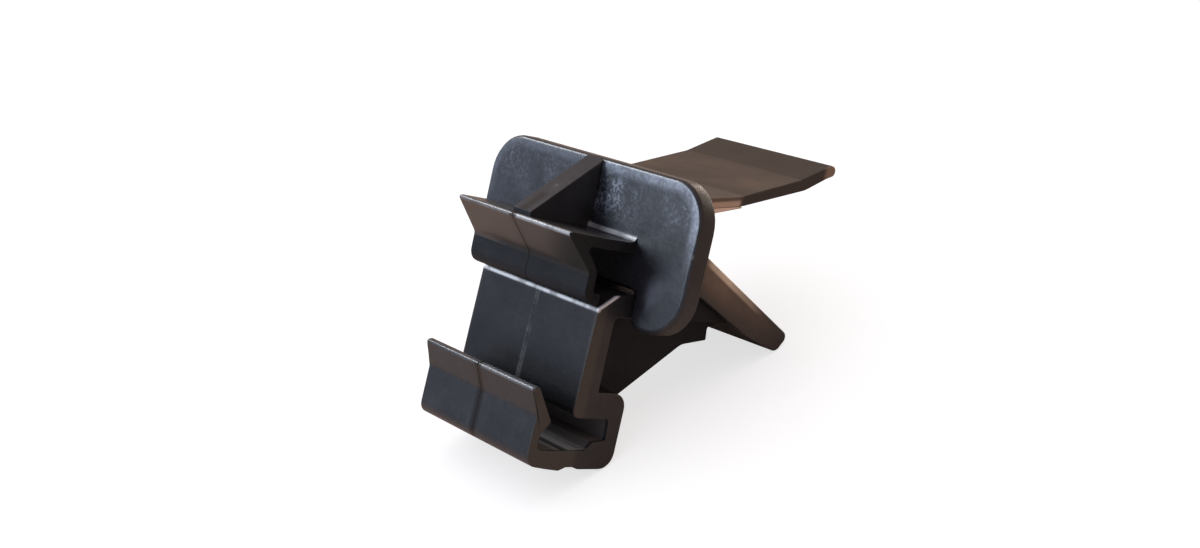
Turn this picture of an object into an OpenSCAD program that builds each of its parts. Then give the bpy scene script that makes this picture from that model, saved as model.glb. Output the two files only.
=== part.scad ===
// Spring clamp with a hooked, two-lipped jaw, a face plate and two squeeze levers.
// Every outline is drawn side-on, as depth (y) and height (z), with the face plate upright.
// The whole assembly is then laid in its resting attitude on a flat surface.

/* [Jaw] */
// Half width of the web, the hook and the lower lever
half_w = 12.7; // [12.4:0.1:13.2]
// Thickness of the web and of the ledge on top of it
web_t = 3.3; // [2.8:0.1:3.5]
// How far a flared lip is drawn in at its end corners
lip_taper = 0.7; // [0.2:0.1:1.2]
// Wall of the nose
nose_t = 1.5; // [1.2:0.1:1.8]

/* [Face plate] */
// Width of the face plate
plate_w = 44.6; // [43:0.1:47]
// Thickness of the face plate
plate_t = 2.9; // [2.6:0.1:3.3]
// Corner radius of the face plate
plate_r = 6.0; // [4:0.1:6.5]
// Thickness of the gusset rib in front of the plate
rib_t = 3.7; // [3:0.1:4.5]

/* [Thumb lever] */
// Width of the thumb lever
blade_w = 24.4; // [22:0.1:25]

/* [Pivot] */
// Diameter of the pivot pin
pin_d = 3; // [2.6:0.1:3.2]
// Radial running clearance round the pivot pin
run_gap = 0.06; // [0.02:0.01:0.1]
// Outer radius of the lower jaw's knuckles
knuckle_r = 3.8; // [3.6:0.1:4]

/* [Spring] */
// Wire diameter of the torsion spring
wire_d = 1; // [0.8:0.1:1.1]
// Whole turns of the torsion spring, its legs aside
turns = 5; // [3:1:6]

/* [Hidden] */
$fn = 64;

body_col = [0.19, 0.20, 0.22];
lever_col = [0.22, 0.20, 0.20];
steel_col = [0.62, 0.62, 0.60];
nylon_col = [0.30, 0.30, 0.31];

// pivot axis, side-on
pv = [2, 5.5];
pin_r = pin_d/2;
// side stack, outward from the middle
ear_in = 6.6;
ear_out = 9.3;
ear_r = 3.6;
washer_t = 0.35;
cheek_in = 9.7;
rib_in = 7;
rib_out = 9;
flange_in = 10.9;
rail_x = 4.4;
// face plate planes
pf = -6.5;
pb = pf + plate_t;
plate_top = 17.6;
plate_bot = -3.4;
// web planes
wf = -11.8;
// the web's front face leans forward by this much at its lower edge
web_draft = 0.45;
wb = wf + web_t;
web_top = -1.4;
web_bot = -16.4;
ledge_top = 1.0;
ledge_bot = ledge_top - web_t;

// ---- rounded outlines ---------------------------------------------------
function unit(v) = v/norm(v);
function flat2(p) = [p[0], p[1]];
// chords round a corner p that lies between neighbours a and b
function corner(a, p, b, r, n) =
    let (u = unit(flat2(a) - flat2(p)), v = unit(flat2(b) - flat2(p)),
         half = acos(max(-1, min(1, u*v)))/2,
         d = r/tan(half),
         c = flat2(p) + unit(u + v)*(r/sin(half)),
         s = flat2(p) + u*d - c, e = flat2(p) + v*d - c,
         a0 = atan2(s[1], s[0]), a1 = atan2(e[1], e[0]),
         sweep = (a1 - a0) - 360*round((a1 - a0)/360))
    [for (k = [0:n]) c + r*[cos(a0 + sweep*k/n), sin(a0 + sweep*k/n)]];
// outline points are [y, z, radius]; a radius of 0 leaves the corner sharp
function rp(P, n = 6) =
    [for (i = [0:len(P) - 1])
        let (a = P[(i + len(P) - 1)%len(P)], p = P[i], b = P[(i + 1)%len(P)])
        each (p[2] == 0 ? [flat2(p)] : corner(a, p, b, p[2], n))];
// a side-on outline carried across the width, from x0 to x1
module across(P, x0, x1, n = 6) {
    translate([x0, 0, 0]) rotate([90, 0, 90]) linear_extrude(x1 - x0) polygon(rp(P, n));
}
// a front-on outline carried through the depth, from y0 to y1
module through(P, y0, y1, n = 6) {
    translate([0, y1, 0]) rotate([90, 0, 0]) linear_extrude(y1 - y0) polygon(rp(P, n));
}
// a round bar across the width
module bar(c, r, x0, x1) {
    translate([x0, c[0], c[1]]) rotate([0, 90, 0]) cylinder(r = r, h = x1 - x0);
}
// a straight line's height at depth y
function on_line(a, b, y) = a[1] + (b[1] - a[1])*(y - a[0])/(b[0] - a[0]);
function on_circle(c, r, a) = [c[0] + r*cos(a), c[1] + r*sin(a), 0];

// ---- resting attitude ---------------------------------------------------
// the assembly lies on the hook's rear heel and on the lower lever's tip
heel_r = 2.3;
heel_c = [-3.05 - heel_r, -23.5 + heel_r];
tip_r = 1.4;
tip_c = [24.55, -4.0];
lay_v = tip_c - heel_c;
lay = atan2(lay_v[1], lay_v[0]) - asin((tip_r - heel_r)/norm(lay_v));
lift = sin(lay)*heel_c[0] - cos(lay)*heel_c[1] + heel_r;
// the hook's front foot and the thumb lever's bead are the two ends of the length
toe_r = 1.6;
toe_c = [-16.6, -21.5];
bead_r = 0.85;
bead_c = [28.7, 22.0];
y_front = cos(lay)*toe_c[0] + sin(lay)*toe_c[1] - toe_r;
y_rear = cos(lay)*bead_c[0] + sin(lay)*bead_c[1] + bead_r;
module laid() {
    translate([0, -(y_front + y_rear)/2, lift]) rotate([-lay, 0, 0]) children();
}

// ---- lower jaw ----------------------------------------------------------
// web, snap hook and ledge
hook_outline = [
    [wf, web_top, 0.35], [wf - web_draft, web_bot, 1.2],
    [-5.5, web_bot, 0.6], [-5.3, -19.4, 0.2], [-7.6, -19.7, 0.25], [-8.7, -20.9, 0.4],
    [-16.9, -20.9, 0.6], [-16.9, -18.7, 0.5], [-15.6, -17.0, 0.6],
    [-18.5, -12.4, 0.3], [-19.7, -12.6, 0.35],
    [-18.0, -16.2, 1.6], [toe_c[0] - toe_r, toe_c[1] - toe_r, toe_r],
    [-12.6, -23.7, 1.2], [-11.4, -23.2, 0.6], [-10.2, -23.2, 0.6], [-9.2, -23.5, 1.2],
    [heel_c[0] + heel_r, heel_c[1] - heel_r, heel_r],
    [heel_c[0] + heel_r, -12.8, 2.2], [wb, -12.8, 0.4], [wb, ledge_bot, 0.9],
    [-4.5, ledge_bot, 0], [-4.5, ledge_top, 0], [-6.8, ledge_top, 0.6], [-9.1, 0.5, 0.6]];

// underside and top of the lower lever, as [start, bend, end]
low_bot = [[6.8, 1.5], [17.9, -3.5], [24.1, -5.35]];
low_top = [[5.5, 7.65], [16.0, 2.3], [27.1, -3.0]];
// cheek round the pivot, running out into the lever's side flange
cheek_outline = concat(
    [[-6.8, ledge_bot, 0], [4.3, ledge_bot, 0.8], [5.0, 1.2, 1.0],
     [low_bot[0][0], low_bot[0][1], 1.5], [low_bot[1][0], low_bot[1][1], 0]],
    [for (a = [-108:12:-24]) on_circle(tip_c, tip_r, a)],
    [[low_top[2][0], low_top[2][1], 1.0], [low_top[1][0], low_top[1][1], 0], [low_top[0][0], low_top[0][1], 0.8]],
    [for (a = [62:12:170]) on_circle(pv, knuckle_r, a)],
    [[-3.2, ledge_top, 0.8], [-6.8, ledge_top, 0]]);
// saddle under the pivot, and the floor of the lever's tray
floor_t = 1.9;
floor_knee = [14, 0.5];
tray_outline = [
    [-5, ledge_bot, 0], [6.0, ledge_bot, 3], [15.0, on_line(low_bot[0], low_bot[1], 15.0), 0],
    [low_bot[1][0], low_bot[1][1], 0], [24.0, on_line(low_bot[1], low_bot[2], 24), 0],
    [24.0, on_line(low_bot[1], low_bot[2], 24) + floor_t, 0], [17.9, low_bot[1][1] + floor_t + 0.15, 0],
    [floor_knee[0], floor_knee[1], 1.5], [4.0, ledge_top, 1.5], [-5, ledge_top, 0]];
// solid nose that closes the tray at the lever's tip
tip_outline = concat(
    [[23.0, on_line(low_bot[1], low_bot[2], 23.0), 0]],
    [for (a = [-108:12:-24]) on_circle(tip_c, tip_r, a)],
    [[low_top[2][0], low_top[2][1], 1.0], [23.4, on_line(low_top[1], low_top[2], 23.4), 0.6]]);
// gusset rib between hook, web, saddle and lever
gusset_outline = [
    [wb - 1, ledge_bot + 0.5, 0], [wb - 1, -13.5, 0], [-4, -15.3, 0], [heel_c[0] + heel_r, -15.3, 0],
    [8.9, -6.2, 3], [13.7, -5.3, 0.2], [13.4, -3.4, 0.5], [15.8, -2.4, 0], [15.0, -1.6, 0], [6, -0.4, 0]];
// low rail beside the spring's lower leg
rail_outline = [
    [8.5, 0.2, 0], [23.5, -4.6, 0], [23.5, -3.2, 0], [14.6, 1.3, 1], [8.5, 2.0, 0.8]];

// corners of both flared lips are drawn in, seen from above
module lip_trim(y_tip, y_root, z0, z1) {
    translate([0, 0, z0]) linear_extrude(z1 - z0) difference() {
        translate([half_w - 4, y_tip - 1]) square([6, y_root - y_tip + 1]);
        polygon(rp([[0, y_root + 1, 0], [half_w, y_root + 1, 0], [half_w, y_root, 0],
                    [half_w - lip_taper, y_tip, 0.8], [0, y_tip, 0]]));
    }
}
module lower_half(pegs) {
    difference() {
        union() {
            across(hook_outline, 0, half_w);
            across(cheek_outline, cheek_in, half_w);
            across(tray_outline, 0, flange_in + 0.4);
            across(tip_outline, 0, half_w - 0.4);
            across(gusset_outline, rib_in, rib_out);
            across(rail_outline, rail_x, rail_x + 1.2);
            // foot of the cheek, down to the tray floor
            across([[3.5, 0.2, 0], [8.5, 0.2, 0], [8.5, 2.0, 0], [3.5, 2.0, 0]], cheek_in, flange_in + 0.4);
        }
        // room inside the cheek's flange, so the side wall of the tray is thinner than the cheek
        across([[7.6, 12, 0], [7.6, 4.2, 1.0], [floor_knee[0], floor_knee[1] + 0.02, 0],
                [17.9, low_bot[1][1] + floor_t + 0.17, 0], [23.0, -3.45, 0.6], [23.0, 12, 0]],
               cheek_in - 1, flange_in);
        lip_trim(-19.8, -15.2, -24.5, -12);
        // pivot bore
        bar(pv, pin_r + 0.02, cheek_in - 1, half_w + 1);
        // sockets for the other half's pegs
        if (!pegs) for (c = peg_at) bar(c, peg_r + 0.05, -1, 2.2);
    }
    if (pegs) for (c = peg_at) bar(c, peg_r, -2, 0.2);
}
peg_r = 0.9;
peg_at = [[-10.15, -6.0], [-4.2, -21.6], [10.5, -0.8], [-0.5, -0.65]];

module lower_jaw_right() {
    color(body_col) difference() {
        lower_half(false);
        // seat for the push nut
        bar(pv, head_seat_r, half_w - nut_seat, half_w + 1);
    }
}
module lower_jaw_left() {
    color(body_col) difference() {
        mirror([1, 0, 0]) lower_half(true);
        // seat for the pin's head
        bar(pv, head_seat_r, -half_w - 1, -half_w + head_seat);
    }
}

// ---- upper jaw ----------------------------------------------------------
plate_mid = (plate_top + plate_bot)/2;
// front-on outline of the plate's right half, cleared for the ledge
module plate_outline() {
    notch_x = half_w + 0.5;
    notch_z = ledge_top + 0.45;
    polygon(rp([[0, notch_z, 0], [notch_x, notch_z, 0.8], [notch_x, plate_bot, 1.2],
                [plate_w/2, plate_bot, plate_r], [plate_w/2, plate_top, plate_r], [0, plate_top, 0]], 10));
}
nose_bot = -0.95;
shelf_z = 7.75;          // the shelf falls a little from the lip back to the plate
nose_outline = [
    [pf + 0.5, 9.9, 0], [pf, 9.9, 0], [pf, shelf_z, 1.1], [-18.6, 8.3, 0.3], [-19.5, 8.2, 0.35],
    [-14.8, 3.3, 1.0], [-14.8, nose_bot, 1.9], [-11.7, nose_bot, 0.3],
    [-11.6, nose_bot + nose_t, 0.3], [-14.8 + nose_t, nose_bot + nose_t, 0.5],
    [-14.8 + nose_t, 3.4, 1.0], [-16.1, 8.3 - nose_t, 0.5], [pf + 0.5, shelf_z - nose_t, 0]];
// the nose's ends draw in towards the plate, seen from above
module nose_draft() {
    translate([0, 0, -2]) linear_extrude(13)
        polygon([[half_w, -14.0], [half_w + 3, -14.0], [half_w + 3, pf], [half_w - 1.3, pf]]);
}
// underside and top of the thumb lever, front to rear
bl_bot = [[pb, 12.5], [11.4, 14.85], [23.9, 18.6], [27.9, 20.8]];
bl_top = [[pb, 14.15], [11.4, 16.35], [22.7, 20.0], [28.2, 22.7]];
ear_outline = concat(
    [[pb - 0.5, 2.6, 0]],
    [for (a = [-100:12:-4]) on_circle(pv, ear_r, a)],
    [[6.0, 8.6, 1.2], [9.2, 8.6, 0.8], [9.2, on_line(bl_bot[0], bl_bot[1], 9.2) - 0.3, 0],
     [pb - 0.5, on_line(bl_bot[0], bl_bot[1], pb - 0.5) - 0.3, 0]]);
rail_under = [
    [pb - 0.5, on_line(bl_bot[0], bl_bot[1], pb - 0.5), 0], [pb - 0.5, 11.2, 0],
    [4.5, 12.9, 2], [11.4, 14.6, 0.1], [11.4, 14.85, 0]];
rail_over = [
    [pb - 0.5, on_line(bl_top[0], bl_top[1], pb - 0.5), 0], [1.2, on_line(bl_top[0], bl_top[1], 1.2), 0],
    [0.8, 15.8, 0.4], [pb - 0.5, 16.0, 0]];
snap_c = [2.5, on_line(bl_bot[0], bl_bot[1], 2.5)];
module upper_half(pegs) {
    difference() {
        union() {
            translate([0, pb, 0]) rotate([90, 0, 0]) linear_extrude(plate_t) plate_outline();
            across(nose_outline, 0, half_w);
            across(ear_outline, ear_in, ear_out);
            across(rail_under, 0, blade_w/2);
            across(rail_over, 0, blade_w/2 - 1);
        }
        lip_trim(-19.6, -14.0, -2, 9);
        nose_draft();
        bar(pv, pin_r + run_gap, ear_in - 1, ear_out + 1);
        // groove that the thumb lever's ridge snaps into
        bar(snap_c, 0.6, -1, blade_w/2 + 1);
        if (!pegs) for (c = up_peg_at) bar(c, 0.75, -1, 2.2);
    }
    if (pegs) for (c = up_peg_at) bar(c, 0.7, -2, 0.2);
}
up_peg_at = [[-4.9, 4.5], [-4.9, 10.5]];
module rib() {
    across([[pf - 0.01, plate_top - 0.1, 0], [-17.6, 8.85, 0.2], [-17.6, 8.0, 0], [pf - 0.01, 7.4, 0]],
           -rib_t/2, rib_t/2);
}
module upper_jaw_right() {
    color(body_col) union() {
        upper_half(false);
        rib();
    }
}
module upper_jaw_left() {
    color(body_col) difference() {
        mirror([1, 0, 0]) upper_half(true);
        // the rib is part of the right half and lies over the seam
        rib();
    }
}

// ---- thumb lever --------------------------------------------------------
module thumb_lever() {
    outline = concat(
        [[bl_bot[0][0], bl_bot[0][1], 0], [bl_bot[1][0], bl_bot[1][1], 6],
         [bl_bot[2][0], bl_bot[2][1], 6], [27.9, 20.75, 0.6]],
        [for (a = [-60:20:120]) on_circle(bead_c, bead_r, a)],
        [[bl_top[2][0], bl_top[2][1], 6], [bl_top[1][0], bl_top[1][1], 6], [bl_top[0][0], bl_top[0][1], 0]]);
    color(lever_col) {
        across(outline, -blade_w/2, blade_w/2);
        // snap ridge on the underside
        intersection() {
            bar(snap_c, 0.55, -blade_w/2, blade_w/2);
            across([[pb, 10, 0], [8, 10, 0], [8, 15, 0], [pb, 13.5, 0]], -blade_w/2, blade_w/2);
        }
    }
}

// ---- pivot hardware -----------------------------------------------------
head_r = 2.6;
head_seat_r = 2.8;
head_seat = 1.3;
nut_seat = 1.1;
module pivot_pin() {
    color(steel_col) translate([-half_w + 0.15, pv[0], pv[1]]) rotate([0, 90, 0]) rotate_extrude()
        polygon([[0, 0], [head_r - 0.3, 0], [head_r, 0.3], [head_r, head_seat - 0.15], [pin_r, head_seat - 0.15],
                 [pin_r, 2*half_w - 0.75], [pin_r - 0.4, 2*half_w - 0.35], [0, 2*half_w - 0.35]]);
}
// toothed push-on nut, dished, gripping the pin's free end
module push_nut() {
    color(steel_col) translate([half_w - nut_seat, pv[0], pv[1]]) rotate([0, 90, 0]) difference() {
        rotate_extrude() polygon([[pin_r, 0.45], [pin_r + 0.5, 0.0], [head_r, 0.0], [head_r, 0.4],
                                  [pin_r + 0.6, 0.4], [pin_r, 0.85]]);
        for (a = [0:60:300]) rotate(a) translate([pin_r + 0.15, 0, -1])
            translate([-0.4, -0.2, 0]) cube([1.0, 0.4, 3]);
    }
}
module thrust_washers() {
    color(nylon_col) for (s = [-1, 1])
        translate([s > 0 ? cheek_in - washer_t : -cheek_in, pv[0], pv[1]]) rotate([0, 90, 0])
            difference() {
                cylinder(r = 3.2, h = washer_t);
                translate([0, 0, -1]) cylinder(r = pin_r + 0.05, h = 3);
            }
}
// flanged sleeve that carries the spring between the ears
spool_r = 2.35;
spool_l = 2*ear_in - 0.1;
module spring_spool() {
    color(nylon_col) translate([-spool_l/2, pv[0], pv[1]]) rotate([0, 90, 0]) rotate_extrude()
        polygon([[pin_r + run_gap, 0], [3.3, 0], [3.3, 0.8], [spool_r, 0.8],
                 [spool_r, spool_l - 0.8], [3.3, spool_l - 0.8], [3.3, spool_l], [pin_r + run_gap, spool_l]]);
}

// ---- torsion spring -----------------------------------------------------
// closed-wound coil, one leg on the tray floor and one under the thumb lever
coil_r = 3.2;
pitch = wire_d + 0.12;
// lower leg leaves the coil's underside, upper leg leaves its top
leg_lo = -5.8;
leg_up = 25.6;
wrap = 360*turns + (leg_lo - 90 + 360) - (leg_up + 90);
coil_l = pitch*wrap/360;
coil_n = ceil(wrap/18);
function on_coil(t) = let (a = leg_lo - 90 - wrap*t)
    [-coil_l/2 + coil_l*t, pv[0] + coil_r*cos(a), pv[1] + coil_r*sin(a)];
lo_dir = [0, cos(leg_lo), sin(leg_lo)];
up_dir = [0, cos(leg_up), sin(leg_up)];
lo_start = on_coil(0);
up_start = on_coil(1);
lo_bend = lo_start + 12.6*lo_dir;
up_bend = up_start + 16.2*up_dir;
foot_lo = [0, cos(-24), sin(-24)];
foot_up = [0, cos(17), sin(17)];
spring_path = concat(
    [lo_bend + 3.4*foot_lo, lo_bend + 0.8*foot_lo, lo_bend - 0.6*lo_dir],
    [lo_start + 8*lo_dir, lo_start + 3*lo_dir],
    [for (k = [0:coil_n]) on_coil(k/coil_n)],
    [up_start + 3*up_dir, up_start + 9*up_dir],
    [up_bend - 0.6*up_dir, up_bend + 0.8*foot_up, up_bend + 3.0*foot_up]);
function tangent(P, i) = unit(P[min(i + 1, len(P) - 1)] - P[max(i - 1, 0)]);
// a round bar swept along a path that never runs along x for long
module swept(P, r, sides) {
    rings = [for (i = [0:len(P) - 1])
        let (t = tangent(P, i), side = unit(cross(t, [1, 0, 0])), up = cross(t, side))
        for (k = [0:sides - 1]) P[i] + r*(cos(360*k/sides)*side + sin(360*k/sides)*up)];
    n = len(P);
    polyhedron(points = rings, faces = concat(
        [[for (k = [0:sides - 1]) k]],
        [for (i = [0:n - 2]) for (k = [0:sides - 1])
            let (a = i*sides + k, b = i*sides + (k + 1)%sides)
            [a, a + sides, b + sides, b]],
        [[for (k = [sides - 1:-1:0]) (n - 1)*sides + k]]));
}
module torsion_spring() {
    color(steel_col) swept(spring_path, wire_d/2, 10);
}

// ---- assembly -----------------------------------------------------------
laid() upper_jaw_left();
laid() upper_jaw_right();
laid() thumb_lever();
laid() lower_jaw_left();
laid() lower_jaw_right();
laid() pivot_pin();
laid() push_nut();
laid() thrust_washers();
laid() spring_spool();
laid() torsion_spring();
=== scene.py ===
import math

import bmesh
import bpy
from mathutils import Matrix, Vector


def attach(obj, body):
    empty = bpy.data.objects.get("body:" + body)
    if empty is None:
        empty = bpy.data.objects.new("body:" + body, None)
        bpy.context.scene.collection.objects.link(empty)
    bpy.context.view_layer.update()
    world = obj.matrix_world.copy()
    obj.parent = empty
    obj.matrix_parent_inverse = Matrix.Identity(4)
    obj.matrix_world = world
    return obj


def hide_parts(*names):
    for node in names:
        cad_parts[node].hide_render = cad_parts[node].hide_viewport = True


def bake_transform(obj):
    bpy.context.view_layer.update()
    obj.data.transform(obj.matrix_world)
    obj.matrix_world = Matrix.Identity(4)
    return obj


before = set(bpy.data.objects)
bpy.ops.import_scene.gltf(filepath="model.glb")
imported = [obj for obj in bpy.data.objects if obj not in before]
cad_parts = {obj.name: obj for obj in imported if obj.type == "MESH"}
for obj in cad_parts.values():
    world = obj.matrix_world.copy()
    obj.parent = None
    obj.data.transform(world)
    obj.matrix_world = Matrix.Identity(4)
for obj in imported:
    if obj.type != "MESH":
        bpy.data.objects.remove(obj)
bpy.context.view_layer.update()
MM = 0.001

# ---- side-on frame: depth y, height z, with the face plate upright ---------
HEEL_R, HEEL_C = 2.3, (-5.35, -21.2)
TIP_R, TIP_C = 1.4, (24.55, -4.0)
TOE_R, TOE_C = 1.6, (-16.6, -21.5)
BEAD_R, BEAD_C = 0.85, (28.7, 22.0)
_dy, _dz = TIP_C[0] - HEEL_C[0], TIP_C[1] - HEEL_C[1]
LAY = math.atan2(_dz, _dy) - math.asin((TIP_R - HEEL_R) / math.hypot(_dy, _dz))
CO, SI = math.cos(LAY), math.sin(LAY)
LIFT = SI * HEEL_C[0] - CO * HEEL_C[1] + HEEL_R
OFF = -((CO * TOE_C[0] + SI * TOE_C[1] - TOE_R) + (CO * BEAD_C[0] + SI * BEAD_C[1] + BEAD_R)) / 2


def row(x, y, z):
    return Vector((x, CO * y + SI * z + OFF, -SI * y + CO * z + LIFT)) * MM


def turn(x, y, z):
    return Vector((x, CO * y + SI * z, -SI * y + CO * z))


def side(v):
    """Row-frame point in metres, back to side-on millimetres."""
    y, z = v.y / MM - OFF, v.z / MM - LIFT
    return Vector((v.x / MM, CO * y - SI * z, SI * y + CO * z))


# ---- camera ----------------------------------------------------------------
cam_data = bpy.data.cameras.new("view")
cam_data.sensor_fit = "HORIZONTAL"
cam_data.sensor_width = 36.0
cam_data.lens = 1615.97 / 1200 * 36.0
cam_data.clip_start = 0.01
cam = bpy.data.objects.new("view", cam_data)
bpy.context.collection.objects.link(cam)
fwd = turn(-0.72304, 0.67970, -0.12340).normalized()
down = turn(0.23687, 0.07613, -0.96855)
right = down.cross(fwd).normalized()
up = right.cross(fwd).normalized()
rot = Matrix((right, up, -fwd)).transposed()
cam.matrix_world = Matrix.Translation(row(165.375, -156.527, 29.388)) @ rot.to_4x4()
bpy.context.scene.camera = cam


# ---- materials -------------------------------------------------------------
def new_mat(name):
    m = bpy.data.materials.new(name)
    m.use_nodes = True
    nt = m.node_tree
    nt.nodes.clear()
    out = nt.nodes.new("ShaderNodeOutputMaterial")
    b = nt.nodes.new("ShaderNodeBsdfPrincipled")
    nt.links.new(b.outputs["BSDF"], out.inputs["Surface"])
    return m, nt, b


def noise(nt, co, scale, detail=4.0, rough=0.55, stretch=None):
    if stretch:
        mp = nt.nodes.new("ShaderNodeMapping")
        mp.inputs["Scale"].default_value = stretch
        nt.links.new(co, mp.inputs["Vector"])
        co = mp.outputs["Vector"]
    n = nt.nodes.new("ShaderNodeTexNoise")
    n.inputs["Scale"].default_value = scale
    n.inputs["Detail"].default_value = detail
    n.inputs["Roughness"].default_value = rough
    nt.links.new(co, n.inputs["Vector"])
    return n.outputs["Fac"]


def ramp(nt, fac, stops):
    r = nt.nodes.new("ShaderNodeValToRGB")
    e = r.color_ramp.elements
    while len(e) < len(stops):
        e.new(0.5)
    for s, (p, c) in zip(e, stops):
        s.position = p
        s.color = (c[0], c[1], c[2], 1.0) if isinstance(c, tuple) else (c, c, c, 1.0)
    nt.links.new(fac, r.inputs["Fac"])
    return r.outputs["Color"]


def bump(nt, height, strength, distance, normal=None):
    b = nt.nodes.new("ShaderNodeBump")
    b.inputs["Strength"].default_value = strength
    b.inputs["Distance"].default_value = distance
    nt.links.new(height, b.inputs["Height"])
    if normal is not None:
        nt.links.new(normal, b.inputs["Normal"])
    return b.outputs["Normal"]


def math_node(nt, op, a, b=None):
    n = nt.nodes.new("ShaderNodeMath")
    n.operation = op
    for i, v in enumerate((a, b)):
        if v is None:
            continue
        if isinstance(v, (int, float)):
            n.inputs[i].default_value = v
        else:
            nt.links.new(v, n.inputs[i])
    return n.outputs[0]


def between(nt, v, lo, hi):
    """0 below lo, 1 above hi, smooth between; lo above hi turns it round."""
    n = nt.nodes.new("ShaderNodeMapRange")
    n.interpolation_type = "SMOOTHSTEP"
    n.inputs["From Min"].default_value = min(lo, hi)
    n.inputs["From Max"].default_value = max(lo, hi)
    n.inputs["To Min"].default_value = 0.0 if lo < hi else 1.0
    n.inputs["To Max"].default_value = 1.0 if lo < hi else 0.0
    nt.links.new(v, n.inputs["Value"])
    return n.outputs["Result"]


def mix_color(nt, fac, a, b):
    n = nt.nodes.new("ShaderNodeMix")
    n.data_type = "RGBA"
    nt.links.new(fac, n.inputs[0])
    for i, c in ((6, a), (7, b)):
        if isinstance(c, tuple):
            n.inputs[i].default_value = (c[0], c[1], c[2], 1.0)
        else:
            nt.links.new(c, n.inputs[i])
    return n.outputs[2]


def side_on(nt, tc):
    """Side-on coordinates in metres, as x, y and z sockets."""
    mp = nt.nodes.new("ShaderNodeMapping")
    mp.vector_type = "TEXTURE"
    mp.inputs["Location"].default_value = (0.0, OFF * MM, LIFT * MM)
    mp.inputs["Rotation"].default_value = (-LAY, 0.0, 0.0)
    nt.links.new(tc, mp.inputs["Vector"])
    sp = nt.nodes.new("ShaderNodeSeparateXYZ")
    nt.links.new(mp.outputs["Vector"], sp.inputs[0])
    return sp.outputs


def plastic(name, dark, light, rough=(0.31, 0.36), peel_mm=0.020, speck_mm=0.008, spec=0.5):
    """Black moulded plastic: cloudy tone, fine orange peel and pits."""
    m, nt, b = new_mat(name)
    tc = nt.nodes.new("ShaderNodeTexCoord").outputs["Object"]
    cloud = noise(nt, tc, 210.0, 3.0, 0.6)
    fine = noise(nt, tc, 1500.0, 3.0, 0.6)
    mixed = math_node(nt, "ADD", math_node(nt, "MULTIPLY", cloud, 0.62), math_node(nt, "MULTIPLY", fine, 0.38))
    col = ramp(nt, mixed, [(0.36, dark), (0.66, light)])
    nt.links.new(col, b.inputs["Base Color"])
    nt.links.new(ramp(nt, mixed, [(0.30, rough[0]), (0.70, rough[1])]), b.inputs["Roughness"])
    peel = bump(nt, noise(nt, tc, 900.0, 2.0, 0.5), 1.0, peel_mm * MM)
    nt.links.new(bump(nt, noise(nt, tc, 2600.0, 2.0, 0.7), 1.0, speck_mm * MM, peel), b.inputs["Normal"])
    b.inputs["Specular IOR Level"].default_value = spec
    return m, nt, b, tc, col


def worn_highlight_line(nt, x, y, z, at, width, gaps, full):
    """Where an edge that runs across the clamp at side-on (y, z), in mm, is rubbed pale and carries a painted
    highlight; gaps breaks it up.
    """
    dy = math_node(nt, "SUBTRACT", y, at[0] * MM)
    dz = math_node(nt, "SUBTRACT", z, at[1] * MM)
    d = math_node(nt, "SQRT", math_node(nt, "ADD", math_node(nt, "MULTIPLY", dy, dy), math_node(nt, "MULTIPLY", dz, dz)))
    return math_node(nt, "MULTIPLY", math_node(nt, "MULTIPLY", between(nt, d, width * MM, 0.25 * width * MM), gaps), full)


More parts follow.
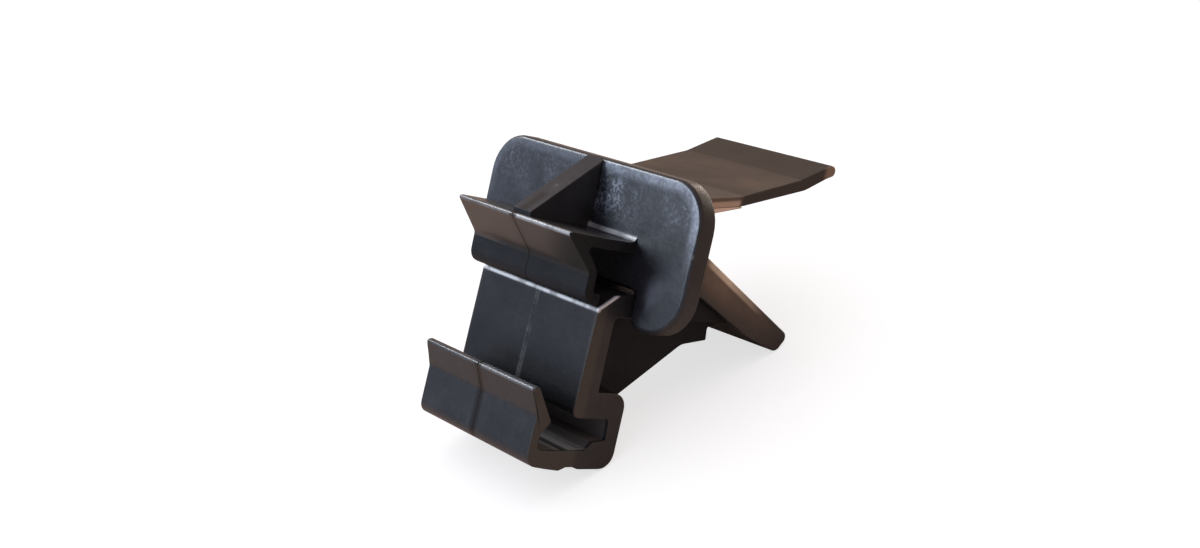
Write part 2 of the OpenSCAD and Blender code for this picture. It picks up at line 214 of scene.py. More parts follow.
def body_plastic(name, spec=0.5):
    """The jaws: smooth black moulding, rubbed pale on the edges that meet a strip, with painted highlights, painted
    warm light and reflection, and painted shade.
    """
    m, nt, b, tc, col = plastic(name, (0.014, 0.015, 0.018), (0.028, 0.029, 0.034), spec=spec)
    x, y, z = side_on(nt, tc)
    ax = math_node(nt, "ABSOLUTE", x)

    def both(*masks):
        out = masks[0]
        for k in masks[1:]:
            out = math_node(nt, "MULTIPLY", out, k)
        return out

    # painted shade: a deep tone inside the recesses of the lever and beside the gusset
    recess_shade = both(between(nt, ax, 0.0122, 0.0118), between(nt, y, -0.0080, -0.0060), between(nt, z, 0.0030, 0.0010))
    col = mix_color(nt, math_node(nt, "MULTIPLY", recess_shade, 0.8), col, (0.004, 0.0035, 0.003))
    # painted warm light: the hook's end faces are painted lighter
    lit_end_faces = both(between(nt, ax, 0.0119, 0.0123), between(nt, y, -0.0098, -0.0106))
    col = mix_color(nt, lit_end_faces, col, (0.044, 0.041, 0.037))
    # painted shade: the plate's side is painted dark
    plate_side_shade = both(between(nt, ax, 0.0170, 0.0190), between(nt, y, -0.0062, -0.0057), between(nt, y, -0.0037, -0.0039), between(nt, z, 0.0020, 0.0060))
    col = mix_color(nt, math_node(nt, "MULTIPLY", plate_side_shade, 0.8), col, (0.005, 0.0048, 0.0045))
    # the lever's sides: painted warm light, a patchy tan brown strongest near the root; d is how far a point lies
    # below the flange's top edge
    d = math_node(nt, "SUBTRACT", math_node(nt, "SUBTRACT", 0.0104, math_node(nt, "MULTIPLY", y, 0.5)), z)
    outer = between(nt, ax, 0.0120, 0.0125)
    patchy = between(nt, noise(nt, tc, 150.0, 3.0, 0.55), 0.30, 0.62)
    lever_side_light = both(outer, between(nt, y, 0.0045, 0.0075), between(nt, d, 0.0062, 0.0010), between(nt, y, 0.0300, 0.0070))
    lever_side_light = math_node(nt, "MULTIPLY", lever_side_light, math_node(nt, "ADD", math_node(nt, "MULTIPLY", patchy, 0.4), 0.6))
    col = mix_color(nt, lever_side_light, col, (0.165, 0.118, 0.088))
    # painted highlight: a cream line along the flange's top edge
    rim = both(between(nt, ax, 0.0119, 0.0123), between(nt, y, 0.0060, 0.0080), between(nt, d, 0.0012, 0.0007), between(nt, d, -0.0014, -0.0010),
               between(nt, y, 0.0210, 0.0130))
    rim = math_node(nt, "MULTIPLY", rim, math_node(nt, "ADD", math_node(nt, "MULTIPLY", patchy, 0.35), 0.60))
    col = mix_color(nt, rim, col, (0.74, 0.64, 0.53))
    # painted glint: a pale pink strip on the side edge of the rail under the blade
    rail_glint = both(between(nt, ax, 0.0119, 0.01215), between(nt, ax, 0.0126, 0.0123), between(nt, z, 0.0105, 0.0112), between(nt, y, -0.0035, -0.0025))
    col = mix_color(nt, math_node(nt, "MULTIPLY", rail_glint, 0.95), col, (0.88, 0.70, 0.59))

    # painted highlights on the rubbed edges, brighter on the right half of each lip
    along = between(nt, noise(nt, tc, 300.0, 2.0, 0.5, (1.0, 0.2, 0.2)), 0.34, 0.50)
    along = math_node(nt, "ADD", math_node(nt, "MULTIPLY", along, 0.5), 0.5)
    right = math_node(nt, "ADD", math_node(nt, "MULTIPLY", between(nt, x, -0.001, 0.001), 0.65), 0.35)
    wear_and_highlight = None
    for at, width, full in WORN_HIGHLIGHTS:
        w = worn_highlight_line(nt, x, y, z, at, width, along, full)
        if at[0] < -19.0 or at[1] > 8.0:
            w = math_node(nt, "MULTIPLY", w, right)
        wear_and_highlight = w if wear_and_highlight is None else math_node(nt, "MAXIMUM", wear_and_highlight, w)
    # the web's top runs back and up from its front corner; its end edge carries a painted highlight too
    off = math_node(nt, "ABSOLUTE", math_node(nt, "SUBTRACT", math_node(nt, "MULTIPLY", math_node(nt, "ADD", z, 0.0014), 0.818),
                                              math_node(nt, "MULTIPLY", math_node(nt, "ADD", y, 0.0118), 0.575)))
    slope_highlight = both(between(nt, off, 0.00040, 0.00012), between(nt, ax, 0.0121, 0.0125), between(nt, y, -0.0120, -0.0118), between(nt, y, -0.0078, -0.0090))
    # grime darkens the seam where it crosses the two lips
    on_lip = math_node(nt, "MULTIPLY", between(nt, ax, 0.00100, 0.00045), between(nt, y, -0.0138, -0.0146))
    col = mix_color(nt, math_node(nt, "MULTIPLY", on_lip, 0.95), col, (0.003, 0.0025, 0.002))
    wear_and_highlight = math_node(nt, "MULTIPLY", wear_and_highlight, math_node(nt, "SUBTRACT", 1.0, on_lip))
    on_web = both(between(nt, y, -0.0135, -0.0127), between(nt, y, -0.0110, -0.0114))
    seam = both(between(nt, ax, 0.0007, 0.0001), on_web, between(nt, noise(nt, tc, 240.0, 3.0, 0.6), 0.40, 0.60))
    wear_and_highlight = math_node(nt, "MAXIMUM", wear_and_highlight, math_node(nt, "MULTIPLY", seam, 0.10))
    # painted fill light: the hook's channel is painted lighter
    channel_fill_light = both(between(nt, ax, 0.0123, 0.0120), between(nt, y, -0.0172, -0.0164), between(nt, z, -0.0160, -0.0168), between(nt, z, -0.0214, -0.0209))
    col = mix_color(nt, channel_fill_light, col, (0.120, 0.116, 0.111))
    # painted shade: the web is painted darker towards the channel's open end and low on its right
    web_shade = both(between(nt, y, -0.0112, -0.0116), between(nt, y, -0.0130, -0.0126), between(nt, z, -0.0016, -0.0024), between(nt, ax, 0.0126, 0.0123))
    low_right_shade = both(web_shade, between(nt, z, -0.0060, -0.0125), between(nt, x, -0.0040, 0.0050))
    col = mix_color(nt, math_node(nt, "MULTIPLY", web_shade, math_node(nt, "ADD", math_node(nt, "MULTIPLY", between(nt, z, -0.0050, -0.0120), 0.35), 0.55)), col, (0.005, 0.0055, 0.007))
    col = mix_color(nt, low_right_shade, col, (0.004, 0.0045, 0.006))
    # painted reflection: the upper lip is painted a warm brown, more on its left half
    lip_reflection = both(between(nt, y, -0.0138, -0.0144), between(nt, z, 0.0008, 0.0018), between(nt, z, 0.0084, 0.0080), between(nt, ax, 0.0124, 0.0120))
    lip_reflection = math_node(nt, "MULTIPLY", lip_reflection, math_node(nt, "ADD", math_node(nt, "MULTIPLY", between(nt, x, 0.0010, -0.0030), 0.55), 0.25))
    col = mix_color(nt, lip_reflection, col, (0.064, 0.050, 0.043))
    # the nose's front and the low right corner of its lip are made matt, and painted dark as a painted shade
    low = math_node(nt, "SUBTRACT", x, math_node(nt, "MULTIPLY", math_node(nt, "SUBTRACT", z, 0.0033), 0.8))
    corner = both(between(nt, low, 0.0025, 0.0105), between(nt, y, -0.0138, -0.0142), between(nt, z, 0.0020, 0.0032), between(nt, ax, 0.0135, 0.0128))
    front = both(between(nt, x, -0.0110, -0.0040), between(nt, y, -0.0140, -0.0144), between(nt, z, 0.0044, 0.0030), between(nt, z, -0.0012, -0.0008))
    dull_shade = math_node(nt, "MAXIMUM", corner, front)
    wear_and_highlight = math_node(nt, "MULTIPLY", wear_and_highlight, math_node(nt, "SUBTRACT", 1.0, math_node(nt, "MULTIPLY", front, 0.8)))
    col = mix_color(nt, math_node(nt, "MULTIPLY", dull_shade, 0.9), col, (0.005, 0.0048, 0.0045))
    # painted highlight on the rubbed edges
    col = mix_color(nt, wear_and_highlight, col, (0.58, 0.59, 0.61))
    # painted highlight, near white, along the web's top edge and up its slope
    top = math_node(nt, "MAXIMUM", worn_highlight_line(nt, x, y, z, WEB_EDGE, 0.42, along, 1.0), slope_highlight)
    nt.links.new(mix_color(nt, top, col, (0.86, 0.88, 0.92)), b.inputs["Base Color"])
    gloss = b.inputs["Roughness"].links[0].from_socket
    nt.links.new(math_node(nt, "ADD", gloss, math_node(nt, "MULTIPLY", math_node(nt, "MAXIMUM", dull_shade, channel_fill_light), 0.42)), b.inputs["Roughness"])
    return m


def lever_plastic(name):
    """The thumb lever: brown-black and cloudy, with painted warm light that fades past its bend, painted shade on the
    blade's flank, and painted glints on the pad and on its tip and root corners.
    """
    m, nt, b, tc, col = plastic(name, (0.017, 0.012, 0.009), (0.032, 0.024, 0.018), rough=(0.38, 0.45))
    x, y, z = side_on(nt, tc)
    ax = math_node(nt, "ABSOLUTE", x)
    # painted warm light over a cloudy brown tone, fading towards the tip past the bend
    cloud = between(nt, noise(nt, tc, 95.0, 4.0, 0.6, (0.55, 1.0, 1.0)), 0.36, 0.64)
    warm_tone_and_light = math_node(nt, "MULTIPLY", cloud, between(nt, y, 0.0265, 0.0150))
    col = mix_color(nt, warm_tone_and_light, col, (0.078, 0.049, 0.031))
    # painted shade on the blade's side face past the root
    flank_shade = math_node(nt, "MULTIPLY", between(nt, ax, 0.0117, 0.0120), between(nt, y, 0.0100, 0.0118))
    col = mix_color(nt, math_node(nt, "MULTIPLY", flank_shade, 0.9), col, (0.010, 0.0075, 0.0055))
    # painted glint: a pale pink strip along the mid-height of the root's side
    half = math_node(nt, "SUBTRACT", z, math_node(nt, "ADD", math_node(nt, "MULTIPLY", math_node(nt, "ADD", y, 0.0036), 0.157), 0.0134))
    pad_glint = math_node(nt, "MULTIPLY", math_node(nt, "MULTIPLY", between(nt, ax, 0.0119, 0.0122), between(nt, half, 0.0002, -0.0002)), between(nt, y, 0.0112, 0.0104))
    col = mix_color(nt, math_node(nt, "MULTIPLY", pad_glint, 0.9), col, (0.66, 0.50, 0.42))
    # painted highlight on the side edges at the tip and at the root
    tip = math_node(nt, "MULTIPLY", between(nt, ax, 0.0118, 0.0121), between(nt, y, 0.0268, 0.0280))
    root = math_node(nt, "MULTIPLY", between(nt, ax, 0.0119, 0.0122), between(nt, y, 0.0118, 0.0100))
    edge = math_node(nt, "MAXIMUM", math_node(nt, "MULTIPLY", tip, 0.8), math_node(nt, "MULTIPLY", root, 0.35))
    nt.links.new(mix_color(nt, edge, col, (0.26, 0.18, 0.13)), b.inputs["Base Color"])
    return m


def textured_plate(name):
    """The face of the plate: spark-textured and cloudy, with a painted sheen on it beside the rib and a painted
    highlight along the top edge.
    """
    m, nt, b, tc, col = plastic(name, (0.013, 0.015, 0.020), (0.028, 0.032, 0.041), rough=(0.36, 0.42), peel_mm=0.03, speck_mm=0.014)
    x, y, z = side_on(nt, tc)
    grain = between(nt, noise(nt, tc, 1900.0, 3.0, 0.6), 0.45, 0.60)
    cloud = between(nt, noise(nt, tc, 230.0, 3.0, 0.55), 0.30, 0.62)
    # painted sheen over the speckle: beside the rib, on the top right shoulder and faintly on the left
    right = between(nt, x, 0.0008, 0.0020)
    beside = math_node(nt, "MULTIPLY", right, math_node(nt, "MULTIPLY", between(nt, x, 0.014, 0.004), between(nt, z, 0.0085, 0.0125)))
    out_x = math_node(nt, "MAXIMUM", math_node(nt, "SUBTRACT", math_node(nt, "ABSOLUTE", x), 0.0163), 0.0)
    out_z = math_node(nt, "MAXIMUM", math_node(nt, "SUBTRACT", z, 0.0116), 0.0)
    reach = math_node(nt, "SQRT", math_node(nt, "ADD", math_node(nt, "MULTIPLY", out_x, out_x), math_node(nt, "MULTIPLY", out_z, out_z)))
    # painted highlight along the top edge and round the top corners
    rim = math_node(nt, "MULTIPLY", between(nt, reach, 0.0036, 0.0052), between(nt, z, 0.0050, 0.0130))
    rim = math_node(nt, "MULTIPLY", rim, math_node(nt, "ADD", math_node(nt, "MULTIPLY", right, 0.7), 0.3))
    shoulder = math_node(nt, "MULTIPLY", between(nt, x, 0.012, 0.020), between(nt, z, 0.009, 0.015))
    left = math_node(nt, "MULTIPLY", between(nt, x, 0.0, -0.010), between(nt, z, 0.008, 0.015))
    area_ = math_node(nt, "ADD", math_node(nt, "MULTIPLY", beside, 0.62), math_node(nt, "MULTIPLY", shoulder, 0.45))
    area_ = math_node(nt, "ADD", area_, math_node(nt, "MULTIPLY", left, 0.16))
    # painted sheen, soft, low on the right side
    low_sheen = math_node(nt, "MULTIPLY", between(nt, math_node(nt, "ABSOLUTE", math_node(nt, "SUBTRACT", x, 0.0165)), 0.0024, 0.0002),
                      math_node(nt, "MULTIPLY", between(nt, z, -0.0015, 0.0005), between(nt, z, 0.0050, 0.0020)))
    sheen_and_rub = math_node(nt, "MULTIPLY", cloud, math_node(nt, "ADD", area_, 0.02))
    sheen_and_rub = math_node(nt, "MULTIPLY", sheen_and_rub, math_node(nt, "ADD", math_node(nt, "MULTIPLY", grain, 0.85), 0.15))
    sheen_and_rub = math_node(nt, "ADD", sheen_and_rub, math_node(nt, "MULTIPLY", math_node(nt, "MULTIPLY", low_sheen, cloud), 0.22))
    # the painted highlight band along the top edge, broken by the speckle
    band = math_node(nt, "MULTIPLY", rim, math_node(nt, "ADD", math_node(nt, "MULTIPLY", grain, 0.25), math_node(nt, "ADD", math_node(nt, "MULTIPLY", cloud, 0.35), 0.25)))
    sheen_and_rub = math_node(nt, "MAXIMUM", sheen_and_rub, band)
    nt.links.new(mix_color(nt, sheen_and_rub, col, (0.36, 0.40, 0.48)), b.inputs["Base Color"])
    return m


def metal(name, base, rough, scale, stretch):
    m, nt, b = new_mat(name)
    tc = nt.nodes.new("ShaderNodeTexCoord").outputs["Object"]
    n = noise(nt, tc, scale, 5.0, 0.65, stretch)
    nt.links.new(ramp(nt, n, [(0.3, tuple(0.8 * c for c in base)), (0.7, base)]), b.inputs["Base Color"])
    nt.links.new(ramp(nt, n, [(0.3, rough - 0.08), (0.7, rough + 0.1)]), b.inputs["Roughness"])
    nt.links.new(bump(nt, n, 0.25, 0.00003), b.inputs["Normal"])
    b.inputs["Metallic"].default_value = 1.0
    return m


def nylon(name):
    m, nt, b = new_mat(name)
    tc = nt.nodes.new("ShaderNodeTexCoord").outputs["Object"]
    n = noise(nt, tc, 700.0, 4.0, 0.5)
    nt.links.new(ramp(nt, n, [(0.35, (0.050, 0.050, 0.050)), (0.65, (0.075, 0.074, 0.070))]), b.inputs["Base Color"])
    b.inputs["Roughness"].default_value = 0.5
    nt.links.new(bump(nt, n, 0.2, 0.00005), b.inputs["Normal"])
    return m


# side-on place, half width and strength of each rubbed edge with its painted highlight
WEB_EDGE = (-11.68, -1.56)
WORN_HIGHLIGHTS = [((-19.35, 8.15), 0.80, 0.62), ((-6.75, 8.3), 0.60, 0.60), ((-19.5, -12.6), 0.60, 0.20)]
mat_body = body_plastic("moulded_black")
# a copy with less gloss for the web's face, a painted shade
mat_web = body_plastic("moulded_web", spec=0.36)
mat_plate = textured_plate("plate_textured")
mat_lever = lever_plastic("lever_black")
# a dull copy of the plastic, put as a painted shade on faces that lie in shade
mat_shade = plastic("moulded_matt_shade", (0.014, 0.016, 0.019), (0.022, 0.024, 0.028), rough=(0.46, 0.52), spec=0.10)[0]
mat_pin = metal("zinc_steel", (0.56, 0.56, 0.55), 0.28, 900.0, (0.2, 1.0, 1.0))
mat_wire = metal("spring_steel", (0.36, 0.36, 0.37), 0.26, 1600.0, (1.0, 1.0, 1.0))
mat_nylon = nylon("nylon_grey")

# ---- CAD nodes carried over, with rounded edges ----------------------------
PF, PLATE_T, PLATE_TOP = -6.5, 2.9, 17.6


def thin(f, e):
    """True along the long side of a face too narrow for a rounded edge, such as a step of 0.02 mm."""
    longest = max(k.calc_length() for k in f.edges)
    return f.calc_area() < 0.03 * MM * longest and e.calc_length() > 0.5 * longest


def sharp_edges(bm, limit):
    out = []
    for e in bm.edges:
        if len(e.link_faces) == 2 and e.is_convex and e.calc_face_angle(0.0) > limit and not any(thin(f, e) for f in e.link_faces):
            out.append(e)
    return out


def carried(node, body, mat, radius, segments=3, limit=28.0, finishes=()):
    """A copy of the node with its hard edges rounded; radius(mid, edge) gives each edge its own size in mm."""
    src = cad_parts[node]
    me = bpy.data.meshes.new(node + "_look")
    bm = bmesh.new()
    bm.from_mesh(src.data)
    bmesh.ops.remove_doubles(bm, verts=bm.verts, dist=2e-6)
    bmesh.ops.dissolve_limit(bm, angle_limit=math.radians(1.5), verts=bm.verts, edges=bm.edges)
    bm.normal_update()
    w = bm.edges.layers.float.new("bevel_weight_edge")
    top = 0.0
    picked = []
    for e in sharp_edges(bm, math.radians(limit)):
        mid = side((e.verts[0].co + e.verts[1].co) / 2)
        r = radius(mid, e)
        if r > 0:
            picked.append((e, r))
            top = max(top, r)
    for e, r in picked:
        e[w] = r / top
    for e in bm.edges:
        if e[w] == 0.0 and len(e.link_faces) == 2 and e.calc_face_angle(0.0) > math.radians(limit):
            e.smooth = False
    bm.to_mesh(me)
    bm.free()
    o = bpy.data.objects.new(node + "_look", me)
    bpy.context.collection.objects.link(o)
    me.materials.append(mat)
    for other, _ in finishes:
        me.materials.append(other)
    for p in me.polygons:
        p.use_smooth = True
        c = side(p.center)
        for i, (_, test) in enumerate(finishes):
            if test(c, side(p.center + p.normal * MM) - c):
                p.material_index = i + 1
    bv = o.modifiers.new("edge", "BEVEL")
    bv.limit_method = "WEIGHT"
    bv.width = top * MM
    bv.segments = segments
    bv.use_clamp_overlap = False
    bv.harden_normals = False
    bv.miter_outer = "MITER_ARC"
    bv.profile = 0.5
    # the rounding is made final, so that inner corners can be kept crisp where they cross a rounded edge
    done = bpy.data.meshes.new_from_object(o.evaluated_get(bpy.context.evaluated_depsgraph_get()))
    o.modifiers.remove(bv)
    o.data = done
    bpy.data.meshes.remove(me)
    done.name = node + "_look"
    bm = bmesh.new()
    bm.from_mesh(done)
    for e in bm.edges:
        if len(e.link_faces) == 2 and not e.is_convex and e.calc_face_angle(0.0) > math.radians(24.0):
            e.smooth = False
    bm.to_mesh(done)
    bm.free()
    wn = o.modifiers.new("shade", "WEIGHTED_NORMAL")
    wn.keep_sharp = True
    shaded = bpy.data.meshes.new_from_object(o.evaluated_get(bpy.context.evaluated_depsgraph_get()))
    normals = [c.vector.copy() for c in shaded.corner_normals]
    for p in shaded.polygons:
        for i in p.loop_indices:
            if p.area > MM * MM and normals[i].angle(p.normal, 0.0) > math.radians(18.0):
                normals[i] = p.normal.copy()
    o.modifiers.remove(wn)
    shaded.normals_split_custom_set(normals)
    o.data = shaded
    bpy.data.meshes.remove(done)
    shaded.name = node + "_look"
    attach(o, body)
    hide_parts(node)
    return o


# narrower than the tightest rounded corner of any outline, so that no flat face folds over itself
SEAM, EDGE = 0.15, 0.14


def round_rim(e):
    """The rim of a locating peg or its socket, hidden between the halves."""
    f = min(e.link_faces, key=lambda k: k.calc_area())
    n = side(e.verts[0].co + f.normal * MM) - side(e.verts[0].co)
    return abs(n.x) < 0.01 and f.calc_area() < 0.9 * MM * MM and max(abs(side(v.co).x) for v in f.verts) < 2.4


def upper_radius(mid, e):
    if abs(mid.x) < 2.3 and round_rim(e):
        return 0
    if abs(mid.x) < 0.02:
        return SEAM
    onfront = all(abs(side(v.co).y - PF) < 0.03 for v in e.verts)
    onback = all(abs(side(v.co).y - (PF + PLATE_T)) < 0.03 for v in e.verts)
    # one width all round each rim, because a step in width overshoots on a rounded corner
    if onfront:
        return 0.70
    if onback:
        return 0.30
    return EDGE


def lower_radius(mid, e):
    if abs(mid.x) < 2.3 and round_rim(e):
        return 0
    # the tray's floor meets its side walls in a step too small to round
    if 8.6 < abs(mid.x) < 11.0 and mid.y > 5.0 and mid.z < 1.2:
        return 0
    # a locating socket lies close behind the heel
    if abs(mid.x) < 0.02:
        return 0.08 if mid.y > -5.5 and mid.z < -19.0 else SEAM
    return EDGE


# the plate's face gets its texture; painted shade: the dull copy goes on the nose's front below its lip, on the
# nose's end faces and on the front of the rib's foot
UPPER_FINISH = (
    (mat_plate, lambda c, n: abs(c.y - PF) < 0.03 and n.y < -0.9),
    (mat_shade, lambda c, n: -15.2 < c.y < -11.0 and c.z < 2.9 and abs(n.x) < 0.3 and (n.y < -0.2 or n.z < -0.2)),
    (mat_shade, lambda c, n: c.y < PF - 0.2 and abs(c.x) > 10.9 and abs(n.x) > 0.9 and c.z < 9.5),
    (mat_shade, lambda c, n: c.y < -17.2 and abs(c.x) < 2.2 and n.y < -0.7 and 7.9 < c.z < 9.0),
)
# painted shade: faces deep inside the lower jaw get the dull copy of the plastic, and the web's face a copy with less
# gloss
LOWER_FINISH = (
    (mat_shade, lambda c, n: abs(n.x) > 0.9 and 1.0 < abs(c.x) < 11.8 and c.y > -9.0),
    (mat_web, lambda c, n: abs(c.y + 11.8) < 0.05 and n.y < -0.9 and -16.4 < c.z < -1.4),
)
carried("upper_jaw_right", "upper_jaw", mat_body, upper_radius, finishes=UPPER_FINISH)
carried("upper_jaw_left", "upper_jaw", mat_body, upper_radius, finishes=UPPER_FINISH)
carried("lower_jaw_right", "lower_jaw", mat_body, lower_radius, finishes=LOWER_FINISH)
carried("lower_jaw_left", "lower_jaw", mat_body, lower_radius, finishes=LOWER_FINISH)
carried("thumb_lever", "upper_jaw", mat_lever, lambda m, e: 0.22)
carried("pivot_pin", "lower_jaw", mat_pin, lambda m, e: 0.10)
carried("push_nut", "lower_jaw", mat_pin, lambda m, e: 0.04)
carried("thrust_washers", "lower_jaw", mat_nylon, lambda m, e: 0.06)
carried("spring_spool", "upper_jaw", mat_nylon, lambda m, e: 0.12)

# ---- torsion spring: one round wire coiled between its two legs, drawn at rest; the real coil winds up as the jaw opens ---
PV = (2.0, 5.5)
WIRE, COIL_R, TURNS = 1.0, 3.2, 5
LEG_LO, LEG_UP = math.radians(-5.8), math.radians(25.6)
WRAP = math.radians(360 * TURNS) + (LEG_LO - math.pi / 2 + 2 * math.pi) - (LEG_UP + math.pi / 2)
COIL_L = (WIRE + 0.12) * WRAP / (2 * math.pi)


def on_coil(t):
    a = LEG_LO - math.pi / 2 - WRAP * t
    return Vector((-COIL_L / 2 + COIL_L * t, PV[0] + COIL_R * math.cos(a), PV[1] + COIL_R * math.sin(a)))


def ray_dir(a):
    return Vector((0, math.cos(a), math.sin(a)))


def bent(p0, corner, p1, r, n=8):
    """Points of an arc of radius r that rounds the corner between p0 and p1."""
    u, v = (p0 - corner).normalized(), (p1 - corner).normalized()
    half = u.angle(v) / 2
    cen = corner + (u + v).normalized() * (r / math.sin(half))
    s0 = corner + u * (r / math.tan(half)) - cen
    s1 = corner + v * (r / math.tan(half)) - cen
    return [cen + s0.slerp(s1, k / n) * (r / s0.slerp(s1, k / n).length) for k in range(n + 1)]


def wire_path():
    lo_d, up_d = ray_dir(LEG_LO), ray_dir(LEG_UP)
    lo_s, up_s = on_coil(0), on_coil(1)
    lo_b, up_b = lo_s + 12.6 * lo_d, up_s + 16.2 * up_d
    lo_e = lo_b + 3.4 * ray_dir(math.radians(-24))
    up_e = up_b + 3.0 * ray_dir(math.radians(17))
    pts = [lo_e] + bent(lo_e, lo_b, lo_s, 2.5)
    pts += [lo_s + k * lo_d for k in (9, 6, 3, 1)]
    n = int(math.degrees(WRAP) / 7.5)
    pts += [on_coil(k / n) for k in range(n + 1)]
    pts += [up_s + k * up_d for k in (1, 3, 6, 9, 12)]
    pts += bent(up_s, up_b, up_e, 2.5) + [up_e]
    return pts


def tube(pts, r, sides=14):
    bm = bmesh.new()
    rings = []
    for i, p in enumerate(pts):
        t = (pts[min(i + 1, len(pts) - 1)] - pts[max(i - 1, 0)]).normalized()
        u = t.cross(Vector((1, 0, 0))).normalized()
        w = t.cross(u)
        end = i in (0, len(pts) - 1)
        rr = r * 0.72 if end else r
        rings.append([bm.verts.new(row(*(p + rr * (math.cos(2 * math.pi * k / sides) * u + math.sin(2 * math.pi * k / sides) * w))))
                      for k in range(sides)])
        if i == 0 or i == len(pts) - 2:
            # a second ring close to each end keeps the sheared tip square
            q = p + t * (0.15 if i == 0 else (pts[-1] - p).length - 0.15)
            rings.append([bm.verts.new(row(*(q + r * (math.cos(2 * math.pi * k / sides) * u + math.sin(2 * math.pi * k / sides) * w))))
                          for k in range(sides)])
    for a, b in zip(rings, rings[1:]):
        for k in range(sides):
            bm.faces.new((a[k], a[(k + 1) % sides], b[(k + 1) % sides], b[k]))
    bm.faces.new(rings[0][::-1])
    bm.faces.new(rings[-1])
    bmesh.ops.recalc_face_normals(bm, faces=bm.faces)
    me = bpy.data.meshes.new("spring_wire")
    bm.to_mesh(me)
    bm.free()
    for p in me.polygons:
        p.use_smooth = len(p.vertices) == 4
    return me


spring = bpy.data.objects.new("spring_wire", tube(wire_path(), WIRE / 2))
bpy.context.collection.objects.link(spring)
spring.data.materials.append(mat_wire)
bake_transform(spring)
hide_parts("torsion_spring")

# ---- floor and light -------------------------------------------------------
fm, fnt, fb = new_mat("floor_pale")
ftc = fnt.nodes.new("ShaderNodeTexCoord").outputs["Object"]
fnt.links.new(ramp(fnt, noise(fnt, ftc, 6.0, 2.0, 0.4), [(0.2, (0.38, 0.38, 0.38)), (0.8, (0.40, 0.40, 0.40))]), fb.inputs["Base Color"])
fb.inputs["Roughness"].default_value = 0.8
fb.inputs["Emission Color"].default_value = (1.0, 1.0, 1.0, 1.0)
fb.inputs["Emission Strength"].default_value = 0.70
bpy.ops.mesh.primitive_plane_add(size=6.0, location=(0, 0, -0.0002))
floor = bpy.context.object
floor.name = "floor"
floor.data.materials.append(fm)
# the object is not lit or mirrored by the white floor; what it sees below it is a darker, warmer table tone
floor.visible_diffuse = False
floor.visible_glossy = False
floor.visible_shadow = False
# a white surround, seen only by the camera, so that low views have no edge of floor
sm, snt, sb = new_mat("surround")
sb.inputs["Base Color"].default_value = (0.0, 0.0, 0.0, 1.0)
sb.inputs["Specular IOR Level"].default_value = 0.0
sb.inputs["Emission Color"].default_value = (1.0, 1.0, 1.0, 1.0)
sb.inputs["Emission Strength"].default_value = 1.02
bpy.ops.mesh.primitive_uv_sphere_add(segments=48, ring_count=24, radius=2.9, location=(0, 0, 0))
surround = bpy.context.object
surround.name = "surround"
surround.data.materials.append(sm)
for flag in ("visible_diffuse", "visible_glossy", "visible_transmission", "visible_volume_scatter", "visible_shadow"):
    setattr(surround, flag, False)
tm, tnt, tb = new_mat("table_tone")
ttc = tnt.nodes.new("ShaderNodeTexCoord").outputs["Object"]
tnt.links.new(ramp(tnt, noise(tnt, ttc, 8.0, 2.0, 0.4), [(0.3, (0.54, 0.40, 0.32)), (0.7, (0.61, 0.46, 0.37))]), tb.inputs["Base Color"])
tb.inputs["Roughness"].default_value = 0.7
bpy.ops.mesh.primitive_plane_add(size=1.2, location=(0, 0, -0.0004))
table = bpy.context.object
table.name = "table_tone"
table.data.materials.append(tm)
table.visible_camera = False
table.visible_shadow = False

world = bpy.data.worlds.new("studio")
bpy.context.scene.world = world
world.use_nodes = True
wt = world.node_tree
bg = wt.nodes["Background"]
wco = wt.nodes.new("ShaderNodeTexCoord")
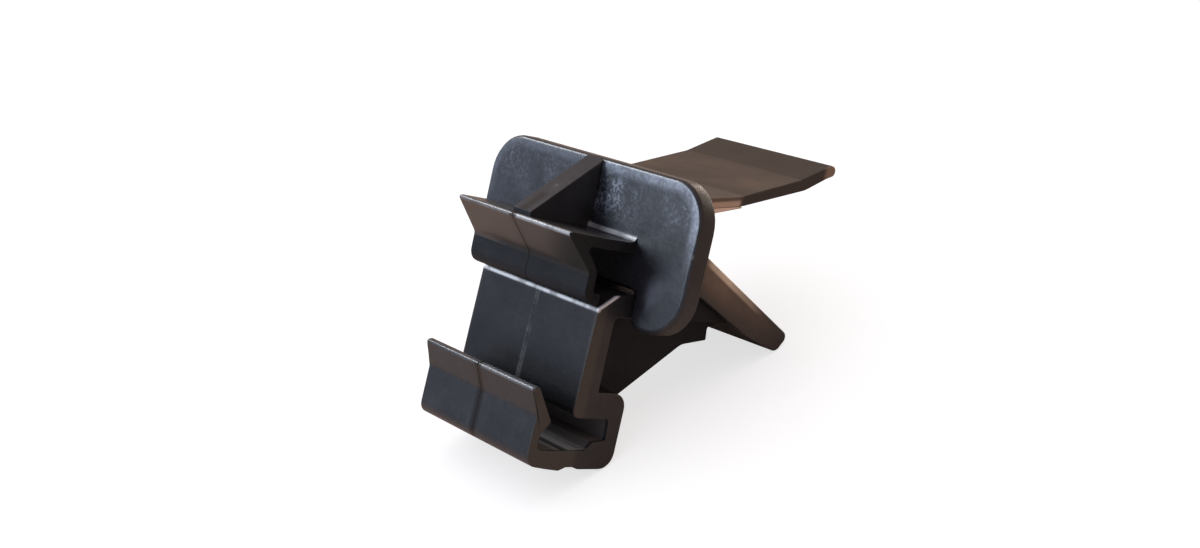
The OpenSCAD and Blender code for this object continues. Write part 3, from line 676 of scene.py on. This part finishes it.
# a soft room: cool daylight from the front, left and above, warm wood tones behind and below
toward = wt.nodes.new("ShaderNodeVectorMath")
toward.operation = "DOT_PRODUCT"
toward.inputs[1].default_value = Vector((-0.30, -0.75, 0.60)).normalized()
wt.links.new(wco.outputs["Generated"], toward.inputs[0])
sky = wt.nodes.new("ShaderNodeMapRange")
sky.interpolation_type = "SMOOTHSTEP"
sky.inputs["From Min"].default_value = 0.05
sky.inputs["From Max"].default_value = 0.8
wt.links.new(toward.outputs["Value"], sky.inputs["Value"])
tone = wt.nodes.new("ShaderNodeMix")
tone.data_type = "RGBA"
tone.inputs[6].default_value = (0.50, 0.37, 0.30, 1.0)
tone.inputs[7].default_value = (0.27, 0.31, 0.43, 1.0)
wt.links.new(sky.outputs["Result"], tone.inputs[0])
wt.links.new(tone.outputs[2], bg.inputs["Color"])
bg.inputs["Strength"].default_value = 1.0

# the floor has its own broad light, so that the lights on the object leave it plain
floor_only = bpy.data.collections.new("floor_light")
floor_only.objects.link(floor)
floor_only.objects.link(table)
all_but_floor = bpy.data.collections.new("object_light")
for i, o in enumerate((floor, table, surround)):
    all_but_floor.objects.link(o)
    all_but_floor.collection_objects[i].light_linking.link_state = "EXCLUDE"


def area(name, way, dist, size, power, color):
    l = bpy.data.lights.new(name, "AREA")
    l.shape = "RECTANGLE"
    l.size, l.size_y = size
    l.energy = power
    l.color = color
    o = bpy.data.objects.new(name, l)
    bpy.context.collection.objects.link(o)
    o.location = mid + way.normalized() * dist
    o.rotation_euler = (mid - o.location).to_track_quat("-Z", "Y").to_euler()
    o.visible_camera = False
    o.light_linking.receiver_collection = all_but_floor
    return o


mid = Vector((0, -0.003, 0.022))
sun = bpy.data.lights.new("floor_sun", "SUN")
sun.energy = 2.0
sun.angle = math.radians(100)
sun_o = bpy.data.objects.new("floor_sun", sun)
bpy.context.collection.objects.link(sun_o)
sun_o.rotation_euler = (math.radians(12), math.radians(-14), 0)
sun_o.light_linking.receiver_collection = floor_only

# name, direction in the row frame, distance, size, power, colour
LIGHTS = [
    ("key", (-0.36, -0.71, 0.62), 0.30, (0.09, 0.09), 0.52, (0.82, 0.91, 1.0)),
    ("edge", (-0.72, -0.05, 0.69), 0.40, (0.08, 0.08), 0.8, (0.93, 0.96, 1.0)),
    ("rim", (-0.15, 0.97, -0.05), 0.35, (0.25, 0.12), 0.6, (1.0, 0.86, 0.74)),
]
for name, way, dist, size, power, color in LIGHTS:
    area(name, Vector(way), dist, size, power, color)

bpy.context.scene.view_settings.view_transform = "Standard"
bpy.context.scene.view_settings.look = "None"
